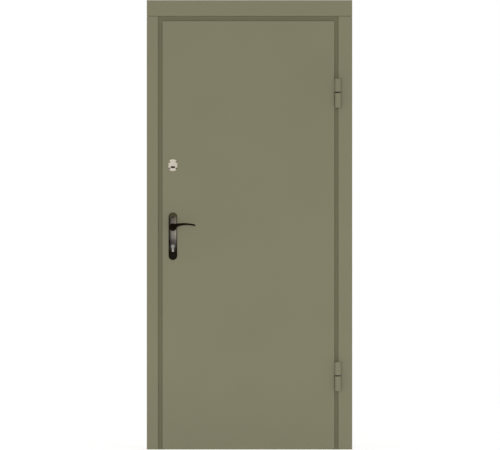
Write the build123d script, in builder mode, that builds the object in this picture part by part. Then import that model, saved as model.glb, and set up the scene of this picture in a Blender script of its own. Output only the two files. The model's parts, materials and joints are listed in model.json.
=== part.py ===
"""Steel entrance door in its frame: sheet leaf, tube frame, folded casings, weld-on hinges, lock furniture.

Millimetres. +X points to the hinge side, +Y into the building and +Z up. The origin is on the floor, at the
middle of the frame's depth and half way across the overall width.
"""

import os

from build123d import *

# Overall size, outside the casings
overall_width = 960.0
overall_height = 2100.0

# Bands seen from the front, from the outer edge inwards
lock_casing_width = 53.0
hinge_casing_width = 65.0
head_casing_width = 75.0
lock_groove = 20.0
hinge_groove = 18.0
head_groove = 23.0

# Frame of rectangular steel tube
tube_face = 50.0
tube_depth = 60.0
tube_wall = 2.0
tube_corner = 4.0
threshold_height = 20.0

# Casings folded from sheet and welded on the front of the frame
casing_depth = 12.0
casing_sheet = 2.0
casing_bend = 3.0
casing_seam = 2.0
tab_length = 25.0
tab_thickness = 4.0
tab_setback = 2.0

# Leaf: folded outer sheet, channel rim and inner sheet
leaf_thickness = 62.0
lip_thickness = 7.0
leaf_overlap = 12.0
outer_sheet_thickness = 2.0
outer_sheet_bend = 2.5
inner_sheet_thickness = 1.5
rim_width = 40.0
lock_stile_width = 16.0
rim_sheet = 2.0
fold_onto_rim = 18.0

# Gaps round the leaf
lock_gap = 10.0
hinge_gap = 7.0
head_gap = 7.0
sill_gap = 7.0
floor_gap = 2.0

# Rubber seal on the front of the frame, behind the leaf's lip
seal_width = 9.0
seal_clearance = 0.5
seal_round = 2.0

# Weld-on hinges
hinge_radius = 16.0
hinge_standoff = 0.5
lower_hinge_height = 273.0
upper_hinge_drop = 405.5
frame_knuckle_length = 70.0
hinge_bearing_gap = 3.5
leaf_knuckle_length = 63.0
hinge_tail = 6.0
knuckle_chamfer = 3.0
knuckle_edge = 1.0
pin_radius = 7.0
pin_clearance = 0.05
pin_floor = 8.0
pin_rise = 48.0
pin_head_room = 3.0
bearing_radius = 10.5
bearing_clearance = 0.3

# Anchor holes through the jambs
anchor_radius = 6.0
anchor_heights = (250.0, 780.0, 1180.0, 1750.0)

# Lever set: the lever's axis sets the height of its plate, its cylinder and its lock
furniture_setback = 49.0
lever_axis_height = 1039.0
plate_drop = 43.0
lever_to_cylinder = 90.0
lower_lock_drop = 69.0
plate_width = 40.0
plate_length = 222.0
plate_rim = 3.0
plate_rise = 6.0
plate_crown = 2.5
plate_bevel = 4.5
plate_soft_edge = 1.0
plate_screw_inset = 23.0
plate_screw_radius = 2.2
plate_sink_radius = 4.0
cylinder_radius = 8.5
cylinder_leg_width = 10.0
cylinder_length_down = 33.0
cylinder_proud = 1.5
cylinder_clearance = 0.3
keyway_width = 2.2
keyway_height = 9.0
keyway_depth = 6.0

# Escutcheon of the upper lock
escutcheon_width = 42.0
escutcheon_height = 55.0
escutcheon_corner = 18.0
escutcheon_thickness = 5.0
escutcheon_edge = 1.6
escutcheon_middle = 1328.0
key_slot_drop = 9.0
key_slot_width = 20.0
key_slot_height = 6.5
key_centre_radius = 5.0
escutcheon_screw_x = 16.0
escutcheon_screw_z = 15.0
escutcheon_screw_radius = 1.8
escutcheon_sink_radius = 3.2

# Lever handles on one square spindle
shank_radius = 8.0
shank_clearance = 0.1
lever_lift = 0.5
collar_radius = 17.5
collar_height = 5.0
waist_radius = 12.0
waist_height = 16.0
head_radius = 17.5
head_height = 22.0
head_round = 5.0
spindle_side = 8.0
socket_depth = 20.0
# Stations of the lever arm: distance from the axis, height above it, then height and depth of the oval there
lever_stations = (
    (8.0, 4.0, 22.0, 15.0),
    (23.0, 9.5, 15.0, 13.5),
    (37.0, 12.5, 11.5, 12.0),
    (51.0, 14.0, 10.0, 11.0),
    (72.0, 13.4, 8.0, 10.0),
    (92.0, 10.8, 8.0, 9.0),
    (105.0, 8.6, 6.0, 6.0),
)

# Mortise locks in the leaf's edge
lock_case_thickness = 16.0
lock_case_depth = 60.0
faceplate_width = 24.0
faceplate_thickness = 3.0
faceplate_clearance = 0.3
upper_case_height = 110.0
upper_faceplate_height = 160.0
lower_case_height = 216.0
lower_faceplate_height = 266.0
bolt_radius = 7.0
bolt_proud = 1.0
bolt_edge = 0.8
bolt_pitch = 24.0
upper_bolt_count = 4
lower_bolt_count = 3
latch_width = 12.0
latch_height = 24.0
latch_rise = 91.0
strike_thickness = 1.5
strike_margin = 3.0
spindle_hole_clearance = 2.0
cylinder_hole_clearance = 2.0
key_hole_clearance = 4.0

# Places worked out from the sizes above
half_width = overall_width / 2
lock_casing_inside = -half_width + lock_casing_width
hinge_casing_inside = half_width - hinge_casing_width
head_casing_bottom = overall_height - head_casing_width
leaf_lock_edge = lock_casing_inside + lock_groove
leaf_hinge_edge = hinge_casing_inside - hinge_groove
leaf_top = head_casing_bottom - head_groove
leaf_bottom = floor_gap
lock_jamb_inside = leaf_lock_edge + leaf_overlap
hinge_jamb_inside = leaf_hinge_edge - leaf_overlap
head_underside = leaf_top - leaf_overlap
rim_lock_edge = lock_jamb_inside + lock_gap
rim_hinge_edge = hinge_jamb_inside - hinge_gap
rim_top = head_underside - head_gap
rim_bottom = threshold_height + sill_gap

frame_front = -tube_depth / 2
face_front = frame_front - casing_depth
lip_back = face_front + lip_thickness
leaf_back = face_front + leaf_thickness
inner_sheet_front = leaf_back - inner_sheet_thickness
leaf_middle_depth = face_front + leaf_thickness / 2

hinge_axis_x = leaf_hinge_edge + hinge_radius
hinge_axis_y = face_front - hinge_radius - hinge_standoff
furniture_x = leaf_lock_edge + furniture_setback
plate_front = face_front - plate_rim - plate_rise
plate_middle = lever_axis_height - plate_drop
cylinder_height = lever_axis_height - lever_to_cylinder
cylinder_middle = cylinder_height + cylinder_radius - cylinder_length_down / 2
lower_lock_middle = lever_axis_height - lower_lock_drop
key_height = escutcheon_middle - key_slot_drop
frame_top = head_underside + tube_face

# Holes through the leaf, hidden under the plates
spindle_hole_radius = shank_radius + spindle_hole_clearance
cylinder_hole_radius = cylinder_length_down / 2 + cylinder_hole_clearance
key_hole_radius = key_slot_width / 2 + key_hole_clearance

leaf_middle_plane = Plane.XZ.offset(-leaf_middle_depth)


def elevation(depth):
    """Plane of a front view at that depth: X to the right, Z up, extruding towards the outside."""
    return Plane.XZ.offset(-depth)


def rectangle_between(low, high):
    """Rectangle in the current sketch from its low corner to its high corner."""
    middle = ((low[0] + high[0]) / 2, (low[1] + high[1]) / 2)
    with Locations(middle):
        Rectangle(high[0] - low[0], high[1] - low[1])


# Heights of the bolts of each lock
upper_first_bolt = key_height - bolt_pitch * (upper_bolt_count - 1) / 2
upper_bolts = [upper_first_bolt + bolt_pitch * i for i in range(upper_bolt_count)]
lower_first_bolt = cylinder_height - bolt_pitch * lower_bolt_count
lower_bolts = [lower_first_bolt + bolt_pitch * i for i in range(lower_bolt_count)]
latch_middle = lower_lock_middle + latch_rise

os.makedirs("parts", exist_ok=True)

# Frame: two jambs of tube with anchor holes, a head mitred to them and a low threshold between them
with BuildPart() as lock_jamb:
    with BuildSketch():
        with Locations((lock_jamb_inside - tube_face / 2, 0)):
            RectangleRounded(tube_face, tube_depth, tube_corner)
            Rectangle(tube_face - 2 * tube_wall, tube_depth - 2 * tube_wall, mode=Mode.SUBTRACT)
    extrude(amount=frame_top)
    with BuildSketch(elevation(tube_depth / 2)):
        with BuildLine():
            Polyline(
                (lock_jamb_inside, head_underside),
                (lock_jamb_inside - tube_face, frame_top),
                (lock_jamb_inside, frame_top),
                close=True,
            )
        make_face()
    extrude(amount=tube_depth, mode=Mode.SUBTRACT)
    with BuildSketch(Plane.YZ.offset(lock_jamb_inside)):
        with Locations(*[(0, z) for z in anchor_heights]):
            Circle(anchor_radius)
    extrude(amount=-tube_face, mode=Mode.SUBTRACT)
    with BuildSketch(Plane.YZ.offset(lock_jamb_inside)):
        with Locations(*[(leaf_middle_depth, z) for z in upper_bolts + lower_bolts]):
            Circle(bolt_radius + strike_margin)
        with Locations((leaf_middle_depth, latch_middle)):
            Rectangle(latch_width + 2 * strike_margin, latch_height + 2 * strike_margin)
    extrude(amount=-tube_face / 2, mode=Mode.SUBTRACT)
lock_jamb.part.label = "lock_jamb"
export_step(lock_jamb.part, "parts/lock_jamb.step")

with BuildPart() as hinge_jamb:
    with BuildSketch():
        with Locations((hinge_jamb_inside + tube_face / 2, 0)):
            RectangleRounded(tube_face, tube_depth, tube_corner)
            Rectangle(tube_face - 2 * tube_wall, tube_depth - 2 * tube_wall, mode=Mode.SUBTRACT)
    extrude(amount=frame_top)
    with BuildSketch(elevation(tube_depth / 2)):
        with BuildLine():
            Polyline(
                (hinge_jamb_inside, head_underside),
                (hinge_jamb_inside + tube_face, frame_top),
                (hinge_jamb_inside, frame_top),
                close=True,
            )
        make_face()
    extrude(amount=tube_depth, mode=Mode.SUBTRACT)
    with BuildSketch(Plane.YZ.offset(hinge_jamb_inside)):
        with Locations(*[(0, z) for z in anchor_heights]):
            Circle(anchor_radius)
    extrude(amount=tube_face, mode=Mode.SUBTRACT)
hinge_jamb.part.label = "hinge_jamb"
export_step(hinge_jamb.part, "parts/hinge_jamb.step")

with BuildPart() as frame_head:
    with BuildSketch(Plane.YZ.offset(lock_jamb_inside - tube_face)):
        with Locations((0, head_underside + tube_face / 2)):
            RectangleRounded(tube_depth, tube_face, tube_corner)
            Rectangle(tube_depth - 2 * tube_wall, tube_face - 2 * tube_wall, mode=Mode.SUBTRACT)
    extrude(amount=hinge_jamb_inside - lock_jamb_inside + 2 * tube_face)
    with BuildSketch(elevation(tube_depth / 2)):
        with BuildLine():
            Polyline(
                (lock_jamb_inside - tube_face, head_underside),
                (lock_jamb_inside, head_underside),
                (lock_jamb_inside - tube_face, frame_top),
                close=True,
            )
        make_face()
        with BuildLine():
            Polyline(
                (hinge_jamb_inside + tube_face, head_underside),
                (hinge_jamb_inside, head_underside),
                (hinge_jamb_inside + tube_face, frame_top),
                close=True,
            )
        make_face()
    extrude(amount=tube_depth, mode=Mode.SUBTRACT)
frame_head.part.label = "frame_head"
export_step(frame_head.part, "parts/frame_head.step")

with BuildPart() as threshold:
    with BuildSketch(Plane.YZ.offset(lock_jamb_inside)):
        with Locations((0, threshold_height / 2)):
            RectangleRounded(tube_depth, threshold_height, tube_wall)
            Rectangle(tube_depth - 2 * tube_wall, threshold_height - 2 * tube_wall, mode=Mode.SUBTRACT)
    extrude(amount=hinge_jamb_inside - lock_jamb_inside)
threshold.part.label = "threshold"
export_step(threshold.part, "parts/threshold.step")

# Casings: folded channels, open at the back, with their inner returns on the frame; a tab in the top of each
# side casing backs the seam under the head casing
with BuildPart() as lock_casing:
    with BuildSketch():
        rectangle_between((-half_width, face_front), (lock_casing_inside, frame_front))
    extrude(amount=head_casing_bottom - casing_seam)
    fillet(lock_casing.edges().filter_by(Axis.Z).sort_by(Axis.Y)[:2], casing_bend)
    with BuildSketch():
        rectangle_between(
            (-half_width + casing_sheet, face_front + casing_sheet),
            (lock_casing_inside - casing_sheet, frame_front),
        )
    extrude(amount=head_casing_bottom - casing_seam, mode=Mode.SUBTRACT)
    with BuildSketch(elevation(frame_front - tab_setback)):
        rectangle_between(
            (-half_width + casing_sheet, head_casing_bottom - tab_length),
            (lock_casing_inside - casing_sheet, head_casing_bottom),
        )
    extrude(amount=tab_thickness)
lock_casing.part.label = "lock_casing"
export_step(lock_casing.part, "parts/lock_casing.step")

with BuildPart() as hinge_casing:
    with BuildSketch():
        rectangle_between((hinge_casing_inside, face_front), (half_width, frame_front))
    extrude(amount=head_casing_bottom - casing_seam)
    fillet(hinge_casing.edges().filter_by(Axis.Z).sort_by(Axis.Y)[:2], casing_bend)
    with BuildSketch():
        rectangle_between(
            (hinge_casing_inside + casing_sheet, face_front + casing_sheet),
            (half_width - casing_sheet, frame_front),
        )
    extrude(amount=head_casing_bottom - casing_seam, mode=Mode.SUBTRACT)
    with BuildSketch(elevation(frame_front - tab_setback)):
        rectangle_between(
            (hinge_casing_inside + casing_sheet, head_casing_bottom - tab_length),
            (half_width - casing_sheet, head_casing_bottom),
        )
    extrude(amount=tab_thickness)
hinge_casing.part.label = "hinge_casing"
export_step(hinge_casing.part, "parts/hinge_casing.step")

with BuildPart() as head_casing:
    with BuildSketch(elevation(frame_front)):
        rectangle_between((-half_width, head_casing_bottom), (half_width, overall_height))
    extrude(amount=casing_depth)
    fillet(head_casing.faces().sort_by(Axis.Y)[0].edges(), casing_bend)
    with BuildSketch(elevation(frame_front)):
        rectangle_between(
            (-half_width + casing_sheet, head_casing_bottom + casing_sheet),
            (half_width - casing_sheet, overall_height - casing_sheet),
        )
    extrude(amount=casing_depth - casing_sheet, mode=Mode.SUBTRACT)
head_casing.part.label = "head_casing"
export_step(head_casing.part, "parts/head_casing.step")

# Rubber seals on the front of the frame, just short of the leaf's lip
seal_inset = (leaf_overlap - seal_width) / 2
seal_front = lip_back + seal_clearance

with BuildPart() as lock_seal:
    with BuildSketch():
        rectangle_between(
            (lock_jamb_inside - seal_inset - seal_width, seal_front),
            (lock_jamb_inside - seal_inset, frame_front),
        )
    extrude(amount=head_underside)
    fillet(lock_seal.edges().filter_by(Axis.Z).sort_by(Axis.Y)[:2], seal_round)
lock_seal.part.label = "lock_seal"
export_step(lock_seal.part, "parts/lock_seal.step")

with BuildPart() as hinge_seal:
    with BuildSketch():
        rectangle_between(
            (hinge_jamb_inside + seal_inset, seal_front),
            (hinge_jamb_inside + seal_inset + seal_width, frame_front),
        )
    extrude(amount=head_underside)
    fillet(hinge_seal.edges().filter_by(Axis.Z).sort_by(Axis.Y)[:2], seal_round)
hinge_seal.part.label = "hinge_seal"
export_step(hinge_seal.part, "parts/hinge_seal.step")

with BuildPart() as head_seal:
    with BuildSketch(Plane.YZ.offset(lock_jamb_inside - seal_inset - seal_width)):
        rectangle_between(
            (seal_front, head_underside + seal_inset),
            (frame_front, head_underside + seal_inset + seal_width),
        )
    extrude(amount=hinge_jamb_inside - lock_jamb_inside + 2 * (seal_inset + seal_width))
    fillet(head_seal.edges().filter_by(Axis.X).sort_by(Axis.Y)[:2], seal_round)
head_seal.part.label = "head_seal"
export_step(head_seal.part, "parts/head_seal.step")

with BuildPart() as threshold_seal:
    with BuildSketch(Plane.YZ.offset(lock_jamb_inside)):
        rectangle_between(
            (seal_front, threshold_height - seal_inset - seal_width),
            (frame_front, threshold_height - seal_inset),
        )
    extrude(amount=hinge_jamb_inside - lock_jamb_inside)
    fillet(threshold_seal.edges().filter_by(Axis.X).sort_by(Axis.Y)[:2], seal_round)
threshold_seal.part.label = "threshold_seal"
export_step(threshold_seal.part, "parts/threshold_seal.step")

# Strike plates on the lock jamb, with a hole for each bolt
with BuildPart() as upper_strike_plate:
    with BuildSketch(Plane.YZ.offset(lock_jamb_inside)):
        with Locations((leaf_middle_depth, key_height)):
            RectangleRounded(faceplate_width, upper_faceplate_height, strike_margin)
        with Locations(*[(leaf_middle_depth, z) for z in upper_bolts]):
            Circle(bolt_radius + strike_margin / 2, mode=Mode.SUBTRACT)
    extrude(amount=strike_thickness)
upper_strike_plate.part.label = "upper_strike_plate"
export_step(upper_strike_plate.part, "parts/upper_strike_plate.step")

with BuildPart() as lower_strike_plate:
    with BuildSketch(Plane.YZ.offset(lock_jamb_inside)):
        with Locations((leaf_middle_depth, lower_lock_middle)):
            RectangleRounded(faceplate_width, lower_faceplate_height, strike_margin)
        with Locations(*[(leaf_middle_depth, z) for z in lower_bolts]):
            Circle(bolt_radius + strike_margin / 2, mode=Mode.SUBTRACT)
        with Locations((leaf_middle_depth, latch_middle)):
            Rectangle(latch_width + strike_margin, latch_height + strike_margin, mode=Mode.SUBTRACT)
    extrude(amount=strike_thickness)
lower_strike_plate.part.label = "lower_strike_plate"
export_step(lower_strike_plate.part, "parts/lower_strike_plate.step")

# Hinges: a frame knuckle that holds the pin, a bearing washer, and a leaf knuckle that turns on the pin
for place, base in (("lower", lower_hinge_height), ("upper", leaf_top - upper_hinge_drop)):
    washer_base = base + frame_knuckle_length
    leaf_knuckle_base = washer_base + hinge_bearing_gap
    pin_top = leaf_knuckle_base + pin_rise

    with BuildPart() as frame_knuckle:
        with BuildSketch(Plane.XY.offset(base)):
            with Locations((hinge_axis_x, hinge_axis_y)):
                Circle(hinge_radius)
            rectangle_between(
                (hinge_casing_inside - hinge_tail, hinge_axis_y),
                (hinge_casing_inside, frame_front),
            )
        extrude(amount=frame_knuckle_length)
        with BuildSketch(Plane.XY.offset(base + pin_floor)):
            with Locations((hinge_axis_x, hinge_axis_y)):
                Circle(pin_radius + pin_clearance)
        extrude(amount=frame_knuckle_length, mode=Mode.SUBTRACT)
    frame_knuckle.part.label = f"{place}_hinge_frame_knuckle"
    export_step(frame_knuckle.part, f"parts/{place}_hinge_frame_knuckle.step")

    with BuildPart() as pin:
        with BuildSketch(Plane.XY.offset(base + pin_floor)):
            with Locations((hinge_axis_x, hinge_axis_y)):
                Circle(pin_radius)
        extrude(amount=pin_top - base - pin_floor)
        chamfer(pin.edges().sort_by(Axis.Z)[-1], knuckle_edge)
    pin.part.label = f"{place}_hinge_pin"
    export_step(pin.part, f"parts/{place}_hinge_pin.step")

    with BuildPart() as washer:
        with BuildSketch(Plane.XY.offset(washer_base)):
            with Locations((hinge_axis_x, hinge_axis_y)):
                Circle(bearing_radius)
                Circle(pin_radius + pin_clearance, mode=Mode.SUBTRACT)
        extrude(amount=hinge_bearing_gap - bearing_clearance)
    washer.part.label = f"{place}_hinge_washer"
    export_step(washer.part, f"parts/{place}_hinge_washer.step")

    with BuildPart() as leaf_knuckle:
        with BuildSketch(Plane.XY.offset(leaf_knuckle_base)):
            with Locations((hinge_axis_x, hinge_axis_y)):
                Circle(hinge_radius)
        extrude(amount=leaf_knuckle_length)
        chamfer(leaf_knuckle.edges().sort_by(Axis.Z)[-1], knuckle_chamfer)
        with BuildSketch(Plane.XY.offset(leaf_knuckle_base)):
            rectangle_between((leaf_hinge_edge, hinge_axis_y), (leaf_hinge_edge + hinge_tail, lip_back))
        extrude(amount=leaf_knuckle_length - knuckle_chamfer)
        with BuildSketch(Plane.XY.offset(leaf_knuckle_base)):
            with Locations((hinge_axis_x, hinge_axis_y)):
                Circle(pin_radius + pin_clearance)
        extrude(amount=pin_rise + pin_head_room, mode=Mode.SUBTRACT)
    leaf_knuckle.part.label = f"{place}_hinge_leaf_knuckle"
    export_step(leaf_knuckle.part, f"parts/{place}_hinge_leaf_knuckle.step")

# Leaf: the outer sheet is folded back round its edges and on to the rim
with BuildPart() as leaf_outer_sheet:
    with BuildSketch(elevation(lip_back)):
        rectangle_between((leaf_lock_edge, leaf_bottom), (leaf_hinge_edge, leaf_top))
    extrude(amount=lip_thickness)
    fillet(leaf_outer_sheet.faces().sort_by(Axis.Y)[0].edges(), outer_sheet_bend)
    with BuildSketch(elevation(lip_back - outer_sheet_thickness)):
        rectangle_between(
            (leaf_lock_edge + outer_sheet_thickness, leaf_bottom + outer_sheet_thickness),
            (leaf_hinge_edge - outer_sheet_thickness, leaf_top - outer_sheet_thickness),
        )
    extrude(amount=lip_thickness - 2 * outer_sheet_thickness, mode=Mode.SUBTRACT)
    with BuildSketch(elevation(lip_back)):
        rectangle_between(
            (rim_lock_edge + fold_onto_rim, rim_bottom + fold_onto_rim),
            (rim_hinge_edge - fold_onto_rim, rim_top - fold_onto_rim),
        )
    extrude(amount=outer_sheet_thickness, mode=Mode.SUBTRACT)
    with BuildSketch(elevation(lip_back)):
        with Locations((furniture_x, lever_axis_height)):
            Circle(spindle_hole_radius)
        with Locations((furniture_x, cylinder_middle)):
            Circle(cylinder_hole_radius)
        with Locations((furniture_x, key_height)):
            Circle(key_hole_radius)
    extrude(amount=lip_thickness, mode=Mode.SUBTRACT)
leaf_outer_sheet.part.label = "leaf_outer_sheet"
export_step(leaf_outer_sheet.part, "parts/leaf_outer_sheet.step")

with BuildPart() as leaf_inner_sheet:
    with BuildSketch(elevation(leaf_back)):
        rectangle_between((rim_lock_edge, rim_bottom), (rim_hinge_edge, rim_top))
        with Locations((furniture_x, lever_axis_height)):
            Circle(spindle_hole_radius, mode=Mode.SUBTRACT)
        with Locations((furniture_x, cylinder_middle)):
            Circle(cylinder_hole_radius, mode=Mode.SUBTRACT)
        with Locations((furniture_x, key_height)):
            Circle(key_hole_radius, mode=Mode.SUBTRACT)
    extrude(amount=inner_sheet_thickness)
leaf_inner_sheet.part.label = "leaf_inner_sheet"
export_step(leaf_inner_sheet.part, "parts/leaf_inner_sheet.step")

# Rim of the leaf: channels with their webs outwards; the lock stile is slim, so that keys pass beside it
faceplate_slot_width = faceplate_width + 2 * faceplate_clearance

with BuildPart() as leaf_lock_stile:
    with BuildSketch(Plane.XY.offset(rim_bottom)):
        rectangle_between((rim_lock_edge, lip_back), (rim_lock_edge + lock_stile_width, inner_sheet_front))
    extrude(amount=rim_top - rim_bottom)
    with BuildSketch(Plane.XY.offset(rim_bottom)):
        rectangle_between(
            (rim_lock_edge + rim_sheet, lip_back + rim_sheet),
            (rim_lock_edge + lock_stile_width, inner_sheet_front - rim_sheet),
        )
    extrude(amount=rim_top - rim_bottom, mode=Mode.SUBTRACT)
    with BuildSketch(elevation(inner_sheet_front)):
        with Locations((furniture_x, lever_axis_height)):
            Circle(spindle_hole_radius)
        with Locations((furniture_x, cylinder_middle)):
            Circle(cylinder_hole_radius)
        with Locations((furniture_x, key_height)):
            Circle(key_hole_radius)
    extrude(amount=leaf_thickness, mode=Mode.SUBTRACT)
    with BuildSketch(Plane.YZ.offset(rim_lock_edge)):
        with Locations((leaf_middle_depth, key_height)):
            Rectangle(faceplate_slot_width, upper_faceplate_height + 2 * faceplate_clearance)
        with Locations((leaf_middle_depth, lower_lock_middle)):
            Rectangle(faceplate_slot_width, lower_faceplate_height + 2 * faceplate_clearance)
    extrude(amount=rim_sheet, mode=Mode.SUBTRACT)
leaf_lock_stile.part.label = "leaf_lock_stile"
export_step(leaf_lock_stile.part, "parts/leaf_lock_stile.step")

with BuildPart() as leaf_hinge_stile:
    with BuildSketch(Plane.XY.offset(rim_bottom)):
        rectangle_between((rim_hinge_edge - rim_width, lip_back), (rim_hinge_edge, inner_sheet_front))
    extrude(amount=rim_top - rim_bottom)
    with BuildSketch(Plane.XY.offset(rim_bottom)):
        rectangle_between(
            (rim_hinge_edge - rim_width, lip_back + rim_sheet),
            (rim_hinge_edge - rim_sheet, inner_sheet_front - rim_sheet),
        )
    extrude(amount=rim_top - rim_bottom, mode=Mode.SUBTRACT)
leaf_hinge_stile.part.label = "leaf_hinge_stile"
export_step(leaf_hinge_stile.part, "parts/leaf_hinge_stile.step")

rail_start = rim_lock_edge + lock_stile_width
rail_length = rim_hinge_edge - rim_width - rail_start

with BuildPart() as leaf_top_rail:
    with BuildSketch(Plane.YZ.offset(rail_start)):
        rectangle_between((lip_back, rim_top - rim_width), (inner_sheet_front, rim_top))
    extrude(amount=rail_length)
    with BuildSketch(Plane.YZ.offset(rail_start)):
        rectangle_between(
            (lip_back + rim_sheet, rim_top - rim_width),
            (inner_sheet_front - rim_sheet, rim_top - rim_sheet),
        )
    extrude(amount=rail_length, mode=Mode.SUBTRACT)
leaf_top_rail.part.label = "leaf_top_rail"
export_step(leaf_top_rail.part, "parts/leaf_top_rail.step")

with BuildPart() as leaf_bottom_rail:
    with BuildSketch(Plane.YZ.offset(rail_start)):
        rectangle_between((lip_back, rim_bottom), (inner_sheet_front, rim_bottom + rim_width))
    extrude(amount=rail_length)
    with BuildSketch(Plane.YZ.offset(rail_start)):
        rectangle_between(
            (lip_back + rim_sheet, rim_bottom + rim_sheet),
            (inner_sheet_front - rim_sheet, rim_bottom + rim_width),
        )
    extrude(amount=rail_length, mode=Mode.SUBTRACT)
leaf_bottom_rail.part.label = "leaf_bottom_rail"
export_step(leaf_bottom_rail.part, "parts/leaf_bottom_rail.step")

# Locks: a faceplate flush with the leaf's edge and a case behind it; the bolts are drawn back
with BuildPart() as upper_lock:
    with BuildSketch(Plane.YZ.offset(rim_lock_edge)):
        with Locations((leaf_middle_depth, key_height)):
            Rectangle(faceplate_width, upper_faceplate_height)
    extrude(amount=faceplate_thickness)
    with BuildSketch(Plane.YZ.offset(rim_lock_edge + faceplate_thickness)):
        with Locations((leaf_middle_depth, key_height)):
            Rectangle(lock_case_thickness, upper_case_height)
    extrude(amount=lock_case_depth)
    with BuildSketch(Plane.YZ.offset(rim_lock_edge)):
        with Locations(*[(leaf_middle_depth, z) for z in upper_bolts]):
            Circle(bolt_radius)
    extrude(amount=faceplate_thickness + bolt_radius, mode=Mode.SUBTRACT)
upper_lock.part.label = "upper_lock"
export_step(upper_lock.part, "parts/upper_lock.step")

with BuildPart() as upper_lock_bolts:
    with BuildSketch(Plane.YZ.offset(rim_lock_edge - bolt_proud)):
        with Locations(*[(leaf_middle_depth, z) for z in upper_bolts]):
            Circle(bolt_radius)
    extrude(amount=bolt_proud + faceplate_thickness + bolt_radius)
    chamfer(upper_lock_bolts.edges().group_by(Axis.X)[0], bolt_edge)
upper_lock_bolts.part.label = "upper_lock_bolts"
export_step(upper_lock_bolts.part, "parts/upper_lock_bolts.step")

with BuildPart() as lower_lock:
    with BuildSketch(Plane.YZ.offset(rim_lock_edge)):
        with Locations((leaf_middle_depth, lower_lock_middle)):
            Rectangle(faceplate_width, lower_faceplate_height)
    extrude(amount=faceplate_thickness)
    with BuildSketch(Plane.YZ.offset(rim_lock_edge + faceplate_thickness)):
        with Locations((leaf_middle_depth, lower_lock_middle)):
            Rectangle(lock_case_thickness, lower_case_height)
    extrude(amount=lock_case_depth)
    with BuildSketch(Plane.YZ.offset(rim_lock_edge)):
        with Locations(*[(leaf_middle_depth, z) for z in lower_bolts]):
            Circle(bolt_radius)
        with Locations((leaf_middle_depth, latch_middle)):
            Rectangle(latch_width, latch_height)
    extrude(amount=faceplate_thickness + bolt_radius, mode=Mode.SUBTRACT)
    with BuildSketch(elevation(leaf_middle_depth)):
        with Locations((furniture_x, lever_axis_height)):
            Circle(spindle_hole_radius)
        with Locations((furniture_x, cylinder_height)):
            Circle(cylinder_radius + cylinder_clearance)
        rectangle_between(
            (
                furniture_x - cylinder_leg_width / 2 - cylinder_clearance,
                cylinder_height + cylinder_radius - cylinder_length_down - cylinder_clearance,
            ),
            (furniture_x + cylinder_leg_width / 2 + cylinder_clearance, cylinder_height),
        )
    extrude(amount=lock_case_thickness, both=True, mode=Mode.SUBTRACT)
lower_lock.part.label = "lower_lock"
export_step(lower_lock.part, "parts/lower_lock.step")

with BuildPart() as lower_lock_bolts:
    with BuildSketch(Plane.YZ.offset(rim_lock_edge - bolt_proud)):
        with Locations(*[(leaf_middle_depth, z) for z in lower_bolts]):
            Circle(bolt_radius)
        with Locations((leaf_middle_depth, latch_middle)):
            Rectangle(latch_width, latch_height)
    extrude(amount=bolt_proud + faceplate_thickness + bolt_radius)
    chamfer(lower_lock_bolts.edges().group_by(Axis.X)[0], bolt_edge)
lower_lock_bolts.part.label = "lower_lock_bolts"
export_step(lower_lock_bolts.part, "parts/lower_lock_bolts.step")

# Escutcheons of the upper lock, outside and inside
with BuildPart() as outer_escutcheon:
    with BuildSketch(elevation(face_front)):
        with Locations((furniture_x, escutcheon_middle)):
            RectangleRounded(escutcheon_width, escutcheon_height, escutcheon_corner)
    extrude(amount=escutcheon_thickness)
    fillet(outer_escutcheon.faces().sort_by(Axis.Y)[0].edges(), escutcheon_edge)
    with BuildSketch(elevation(face_front)):
        with Locations((furniture_x, key_height)):
            SlotOverall(key_slot_width, key_slot_height)
            Circle(key_centre_radius)
    extrude(amount=escutcheon_thickness, mode=Mode.SUBTRACT)
    with Locations(elevation(face_front - escutcheon_thickness).location):
        with Locations(
            (furniture_x - escutcheon_screw_x, escutcheon_middle - escutcheon_screw_z),
            (furniture_x - escutcheon_screw_x, escutcheon_middle + escutcheon_screw_z),
            (furniture_x + escutcheon_screw_x, escutcheon_middle - escutcheon_screw_z),
            (furniture_x + escutcheon_screw_x, escutcheon_middle + escutcheon_screw_z),
        ):
            CounterSinkHole(escutcheon_screw_radius, escutcheon_sink_radius, escutcheon_thickness)
outer_escutcheon.part.label = "outer_escutcheon"
export_step(outer_escutcheon.part, "parts/outer_escutcheon.step")

with BuildPart() as inner_escutcheon:
    mirror(outer_escutcheon.part, about=leaf_middle_plane)
inner_escutcheon.part.label = "inner_escutcheon"
export_step(inner_escutcheon.part, "parts/inner_escutcheon.step")

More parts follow.
